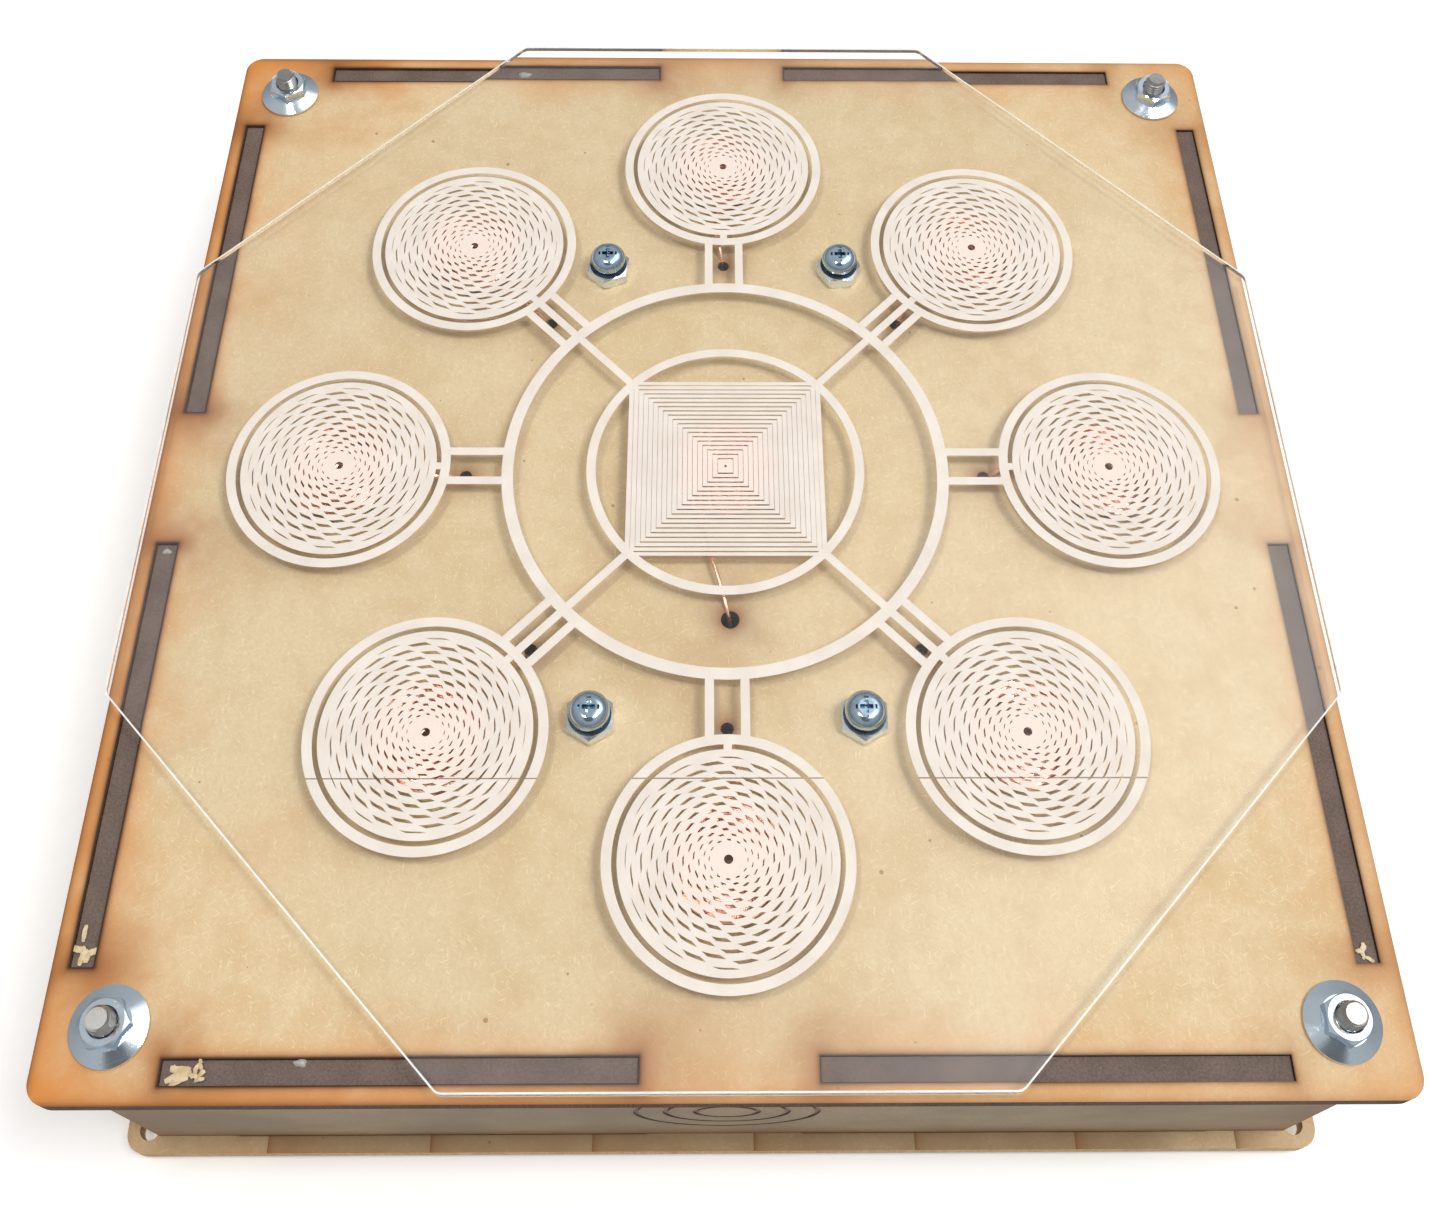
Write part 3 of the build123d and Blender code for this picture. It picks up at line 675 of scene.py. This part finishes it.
for name, bearing in PAD_BEARINGS.items():
    along, across = pad_directions(bearing)
    middle = PAD_CIRCLE * along
    link = [flat_bar(middle - along * (PAD_DISC - 0.4 * MM), middle - along * (PAD_RING[0] + 0.3 * MM),
                     2.0 * MM, -0.01 * MM)]
    piece(f"pad_engraving_{name}", [flat_ring(*PAD_RING, middle, sides=128), slotted_disc(middle)] + link,
          engraved_white, thickness=-ENGRAVED_RISE)
    meet = np.sqrt(PAD_RING[1] ** 2 - BAR_OFFSET ** 2)
    bars = [flat_bar(along * (BIG_RING[1] - 0.9 * MM) + across * side * BAR_OFFSET,
                     middle - along * (meet - 0.6 * MM) + across * side * BAR_OFFSET, BAR_WIDTH, -0.02 * MM)
            for side in (-1, 1)]
    if bearing % 90:
        corner = along * SQUARE_HALF * np.sqrt(2)
        bars.append(flat_bar(corner - along * 1.2 * MM, middle - along * (PAD_RING[1] - 0.8 * MM), SPOKE_WIDTH,
                             -0.03 * MM))
    piece(f"pad_bars_{name}", bars, engraved_white, thickness=-ENGRAVED_RISE)

piece("big_ring_engraving", [flat_ring(*BIG_RING, sides=256)], engraved_white, thickness=-ENGRAVED_RISE)
piece("inner_ring_engraving", [flat_ring(*INNER_RING, sides=192)], engraved_white, thickness=-ENGRAVED_RISE)


def nested_squares():
    """Square frames one inside the next; the raster leaves wider grooves along X than along Y."""
    count = 19
    pitch = SQUARE_HALF / (count + 0.5)
    outer = SQUARE_HALF - pitch * np.arange(count)
    inner_x = outer - pitch + 0.10 * MM
    inner_y = outer - pitch + 0.36 * MM
    inner_y[-1] = inner_x[-1] = 0.3 * MM
    signs = np.array([(-1, -1), (1, -1), (1, 1), (-1, 1)])
    patches = []
    for a, bx, by in zip(outer, inner_x, inner_y):
        rows = np.stack([signs * a, signs * (bx, by)])
        points = np.concatenate([rows, np.full((2, 4, 1), PLATE_TOP - 0.015 * MM)], axis=-1)
        patches.append(grid(points, wrap=True))
    return patches


piece("square_engraving", nested_squares(), engraved_white, thickness=-ENGRAVED_RISE)

# ================= the plate's cut edge =================
PLATE_CORNER = 3.0 * MM
CORNER_STEPS = 7  # points round each corner's arc
LIP_WIDTH = 0.34 * MM
LIP_RISE = 0.03 * MM


def octagon_outline(grown):
    """The plate's outline moved out by a length: eight arcs, with the straight sides between them."""
    corner = (plate_high[0] - PLATE_CORNER) / np.cos(np.pi / 8)
    bearing = np.repeat(np.radians(22.5 + 45 * np.arange(8)), CORNER_STEPS)
    swing = bearing + np.tile(np.radians(np.linspace(-22.5, 22.5, CORNER_STEPS)), 8)
    radius = PLATE_CORNER + grown
    return np.stack([corner * np.cos(bearing) + radius * np.cos(swing),
                     corner * np.sin(bearing) + radius * np.sin(swing)], axis=-1)


# the band over the plate's top and both rims of this strip carry the edge's painted highlight
lip_top, near, proud = PLATE_TOP + LIP_RISE, 0.01 * MM, 0.05 * MM
edge_profile = [(-LIP_WIDTH, lip_top), (proud, lip_top), (proud, PLATE_BOTTOM), (near, PLATE_BOTTOM),
                (near, PLATE_TOP + 0.004 * MM), (-LIP_WIDTH, PLATE_TOP + 0.004 * MM), (-LIP_WIDTH, lip_top)]
edge_rows = []
for grown, height in edge_profile:
    outline = octagon_outline(grown)
    edge_rows.append(np.column_stack([outline, np.full(len(outline), height)]))
piece("plate_cut_edge", [grid(np.stack(edge_rows), wrap=True)], cut_acrylic)

# ================= copper coils with their leads =================
WIRE = 1.1 * MM
COIL_MIDDLE_Z = PLATE_BOTTOM - 0.65 * MM


def spiral(middle, first, last, end_turn):
    """A flat spiral whose radius grows evenly with its angle."""
    turns = (last - first) / WIRE
    steps = int(turns * 36)
    share = np.linspace(0, 1, steps)
    angle = end_turn - TAU * turns * (1 - share)
    radius = first + (last - first) * share
    return polar(radius, angle, COIL_MIDDLE_Z) + (*middle, 0)


def wound_coil(name, middle, radius, lead):
    """One coil: a flat spiral of wire that runs on, off its outer turn, into its lead."""
    first_corner = np.array(lead[0])
    away = first_corner[:2] - np.array(middle)
    end_turn = np.arctan2(away[1], away[0])
    outer = radius - WIRE / 2
    wound = spiral(middle, 1.6 * MM, outer, end_turn)
    leaving = wound[-1] + (wound[-1] - wound[-2]) * 3
    route = smooth_route([wound[-1], leaving, *lead])
    path = np.concatenate([wound, route[1:]])
    made = piece(f"wound_{name}", [tube(path, WIRE / 2, 8)], copper)
    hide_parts(name)
    return made


COIL_RADIUS = 14 * MM
LEAVING_REACH = 14.8 * MM  # where a lead leaves its coil, towards the middle
LEAD_SIDE = 4.0 * MM
_, board_high = (np.array(corner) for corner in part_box("controller_board"))
front_low, _ = (np.array(corner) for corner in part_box("front_terminals"))
rear_low, rear_high = (np.array(corner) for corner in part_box("rear_terminals"))
MOUTH_Z = board_high[2] + 3.5 * MM
TERMINAL_PITCH = 5.08 * MM
FRONT_WAYS = {"left": 0, "front_left": 1, "centre": 2, "front": 3, "front_right": 4, "right": 5}
REAR_WAYS = {"back_left": 0, "back": 1, "back_right": 2}


def lead_end(name):
    """The last two corners of a lead's route, outside and inside its terminal's mouth."""
    if name in REAR_WAYS:
        x = (rear_low[0] + rear_high[0]) / 2 + (REAR_WAYS[name] - 1) * TERMINAL_PITCH
        return [(x, rear_high[1] + 14 * MM, MOUTH_Z), (x, rear_high[1] - 2.4 * MM, MOUTH_Z)]
    x = (FRONT_WAYS[name] - 2.5) * TERMINAL_PITCH
    return [(x, front_low[1] - 14 * MM, MOUTH_Z), (x, front_low[1] + 2.4 * MM, MOUTH_Z)]


for name, bearing in PAD_BEARINGS.items():
    along, across = pad_directions(bearing)
    start = (PAD_CIRCLE - LEAVING_REACH) * along + LEAD_SIDE * across
    hole = HOLE_CIRCLE * along
    lead = [(*start, COIL_MIDDLE_Z), (*hole, COIL_MIDDLE_Z), (*hole, 60 * MM), (*hole, 48 * MM),
            *lead_end(name)]
    wound_coil(f"coil_{name}", PAD_CIRCLE * along, COIL_RADIUS, lead)
centre_lead = [(-8.2 * MM, -9.6 * MM, COIL_MIDDLE_Z), (*CENTRE_HOLE, COIL_MIDDLE_Z - 0.4 * MM),
               (*CENTRE_HOLE, 72 * MM), (*CENTRE_HOLE, 60 * MM), *lead_end("centre")]
wound_coil("coil_centre", (0, 0), COIL_RADIUS, centre_lead)

# ================= corner bolts with cut threads =================
BOLT_RADIUS = 3.0 * MM
THREAD_PITCH = 1.0 * MM
THREAD_DEPTH = 0.54 * MM
HEAD_HEIGHT = 4.0 * MM
HEAD_FLATS = 10.0 * MM


def hex_head(middle, turn):
    """A hexagon with coned corners: at each height the radius is the lesser of the hexagon and the cone."""
    angle = np.linspace(0, TAU, 96, endpoint=False)
    folded = (angle - turn + np.pi / 6) % (np.pi / 3) - np.pi / 6
    hexagon = HEAD_FLATS / 2 / np.cos(folded)
    heights = np.array([0, 0, 0.3, 0.6, HEAD_HEIGHT / MM - 0.6, HEAD_HEIGHT / MM - 0.3, HEAD_HEIGHT / MM,
                        HEAD_HEIGHT / MM]) * MM
    cone = (np.array([0, 4.75, 5.27, 5.8, 5.8, 5.27, 4.75, 0]) * MM)[:, None]
    radius = np.minimum(hexagon[None, :], cone)
    return grid(polar(radius, angle[None, :], heights[:, None]) + (*middle, 0), wrap=True)


def threaded_shank(middle):
    """A plain shank whose top runs as a thread: the radius dips once each pitch along a helix."""
    sides = 40
    angle = np.linspace(0, TAU, sides, endpoint=False)[None, :]
    thread_low, tip = BOLT_TOP - 24 * MM, BOLT_TOP
    threaded = np.arange(thread_low + 0.1 * MM, tip, THREAD_PITCH / 9)
    height = np.concatenate([[HEAD_HEIGHT, thread_low], threaded, [tip]])[:, None]
    phase = (height / THREAD_PITCH - angle / TAU) % 1.0
    groove = np.clip(1.25 - 2.5 * np.abs(phase - 0.5), 0, 1)
    radius = BOLT_RADIUS - THREAD_DEPTH * groove * (height > thread_low)
    chamfer = 2.2 * MM + (tip - height) * 0.8
    radius = np.minimum(radius, chamfer)
    points = polar(radius, angle, height)
    cap = polar(np.zeros((1, 1)), angle, tip)
    return grid(np.concatenate([points, cap]) + (*middle, 0), wrap=True)


bolt_patches = []
for x in (-1, 1):
    for y in (-1, 1):
        middle = (x * BOLT_OFFSET, y * BOLT_OFFSET)
        bolt_patches += [hex_head(middle, 0.2 * x + 0.3 * y), threaded_shank(middle)]
bolts = piece("threaded_bolts", bolt_patches, dull_steel)
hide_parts("corner_bolts")

# ================= torn fibres and glue in the slots =================
rng = np.random.default_rng(7)
CHIP_STEPS = 9


def chip(start, end, width, lift):
    """A thin flat chip of board between two points, arched up in the middle and narrowed at its ends."""
    start, end = np.array(start), np.array(end)
    share = np.linspace(0, 1, CHIP_STEPS)[:, None]
    path = start + (end - start) * share
    path[:, 2] += lift * np.sin(np.pi * share[:, 0])
    path[:, :2] += rng.normal(0, 0.08 * MM, (CHIP_STEPS, 2))
    return tube(path, width / 2 * np.sin(np.pi * (0.12 + 0.76 * share[:, 0])) ** 0.4, 6, 0.22)


def torn_patch(root, reach, bearings, lift):
    """Chips that fan out from about one root, at bearings in degrees."""
    patches = []
    for bearing in bearings:
        turn = np.radians(bearing + rng.normal(0, 6))
        way = np.array([np.cos(turn), np.sin(turn), 0])
        near = np.array(root) + rng.normal(0, 0.7, 3) * (1, 1, 0.1) * MM
        far = near + way * reach * rng.uniform(0.7, 1.1) + (0, 0, lift * rng.uniform(0.2, 1.0))
        patches.append(chip(near, far, rng.uniform(0.8, 1.5) * MM, rng.uniform(0.1, 0.5) * MM))
    return patches


TAB_TOP = wall_high[2]
CHIP_LIE = TAB_TOP + 0.15 * MM
torn = [("torn_fibres_front_left",
         torn_patch((-115.6 * MM, -143.9 * MM, CHIP_LIE), 4.6 * MM, (160, 168, 175, 182, 189, 196), 0.1 * MM)
         + torn_patch((-113.6 * MM, -144.6 * MM, CHIP_LIE), 2.2 * MM, (12, 35, 75, 100, 160), 1.5 * MM)),
        ("torn_fibres_left_front",
         torn_patch((-143.6 * MM, -118.4 * MM, CHIP_LIE), 3.2 * MM, (250, 275, 300, 20, 160, 90), 0.5 * MM)),
        ("torn_fibres_right_front",
         torn_patch((143.4 * MM, -120.2 * MM, CHIP_LIE), 2.0 * MM, (70, 110, 200, 330), 0.3 * MM))]
for name, patches in torn:
    piece(name, patches, torn_fibre)


def glue_drop(middle, size, height):
    """A low rounded drop, lumpy round its rim."""
    angle = np.linspace(0, TAU, 32, endpoint=False)[None, :]
    rise = np.linspace(0, np.pi / 2, 9)[:, None]
    lump = 1 + 0.12 * np.sin(3 * angle + middle[0] * 900) + 0.07 * np.sin(5 * angle)
    radius = size * np.cos(rise) * lump
    points = polar(radius, angle, middle[2] + height * np.sin(rise)) * (1, 0.6, 1)
    floor = polar(np.zeros((1, 1)), angle, middle[2])
    return grid(np.concatenate([floor, points]) + (middle[0], middle[1], 0), wrap=True)


GLUE_LIE = TAB_TOP - 0.05 * MM
for name, x, y, size, height in (("back", -62, 143.0, 2.0, 0.9), ("left", -143.4, -21.5, 1.2, 0.6),
                                 ("front", -92.5, -141.6, 1.5, 0.8)):
    piece(f"glue_drop_{name}", [glue_drop((x * MM, y * MM, GLUE_LIE), size * MM, height * MM)], clear_glue)


# ================= floor, light and camera =================
def add_floor():
    """A pale floor: a big plain square under the bolt heads."""
    reach = np.linspace(-3, 3, 5)
    x, y = np.meshgrid(reach, reach)
    points, quads = grid(np.stack([x, y, np.zeros_like(x)], axis=-1))
    mesh = bpy.data.meshes.new("floor")
    mesh.from_pydata(points.tolist(), [], quads.tolist())
    material, tree, shader, place = new_material("pale_floor", Roughness=0.85, Specular_IOR_Level=0.2)
    shader.inputs["Base Color"].default_value = (0.93, 0.93, 0.93, 1)
    shader.inputs["Emission Color"].default_value = (1, 1, 1, 1)
    shader.inputs["Emission Strength"].default_value = 0.22
    mesh.materials.append(material)
    floor = bpy.data.objects.new("floor", mesh)
    bpy.context.scene.collection.objects.link(floor)


def add_light(name, place, target, size, energy, tint=(1, 1, 1)):
    """A soft rectangular lamp that faces a point."""
    data = bpy.data.lights.new(name, "AREA")
    data.shape = "RECTANGLE"
    data.size, data.size_y = size
    data.energy = energy
    data.color = tint
    lamp = bpy.data.objects.new(name, data)
    lamp.location = place
    lamp.rotation_mode = "QUATERNION"
    lamp.rotation_quaternion = (Vector(target) - Vector(place)).to_track_quat("-Z", "Y")
    bpy.context.scene.collection.objects.link(lamp)


def add_camera():
    """The view from above the front edge, turned a little to the right."""
    place = Vector((-0.00736, -0.20479, 0.4661))
    lift, turn, roll = np.radians((55.151, 1.525, 1.422))
    look = Vector((np.cos(lift) * np.sin(turn), np.cos(lift) * np.cos(turn), -np.sin(lift)))
    data = bpy.data.cameras.new("camera")
    data.sensor_width = 36
    data.lens = 40.35
    data.shift_y = -0.217
    data.clip_start = 0.01
    camera = bpy.data.objects.new("camera", data)
    camera.location = place
    camera.rotation_mode = "QUATERNION"
    camera.rotation_quaternion = look.to_track_quat("-Z", "Y") @ Quaternion((0, 0, 1), roll)
    bpy.context.scene.collection.objects.link(camera)
    bpy.context.scene.camera = camera


add_floor()
add_camera()
add_light("key_lamp", (0.50, -0.22, 1.5), (0, 0, 0.09), (0.34, 0.34), 9.6)
add_light("second_lamp", (-0.28, -0.13, 1.5), (0, 0, 0.09), (0.15, 0.15), 4.5, (1.0, 0.96, 0.91))
world = bpy.data.worlds.new("studio")
world.use_nodes = True
sky = world.node_tree
way = node(sky, "TexCoord").outputs["Generated"]
height = node(sky, "SeparateXYZ", {0: way}).outputs[2]


def toward(x, y, z, wide, narrow):
    """1 within a narrow angle of a direction, fading to 0 at a wide one; the angles are in degrees."""
    aim = Vector((x, y, z)).normalized()
    nearness = node(sky, "VectorMath", {0: way, 1: aim}, operation="DOT_PRODUCT").outputs["Value"]
    return ramp(sky, nearness, float(np.cos(np.radians(wide))), float(np.cos(np.radians(narrow))))


overhead = ramp(sky, height, 0.0, 0.8, 0.25, 0.49)
window_glow = calc(sky, "MULTIPLY", toward(0.56, 0.30, 1.0, 30, 4), 1.3)
room_shade = calc(sky, "MULTIPLY", toward(0.0, -0.45, 0.9, 24, 12), -0.34)
brightness = calc(sky, "ADD", calc(sky, "ADD", overhead, window_glow), room_shade)
sky.links.new(brightness, sky.nodes["Background"].inputs[1])
sky.nodes["Background"].inputs[0].default_value = (0.98, 0.99, 1.0, 1)
bpy.context.scene.world = world
bpy.context.scene.view_settings.view_transform = "Standard"
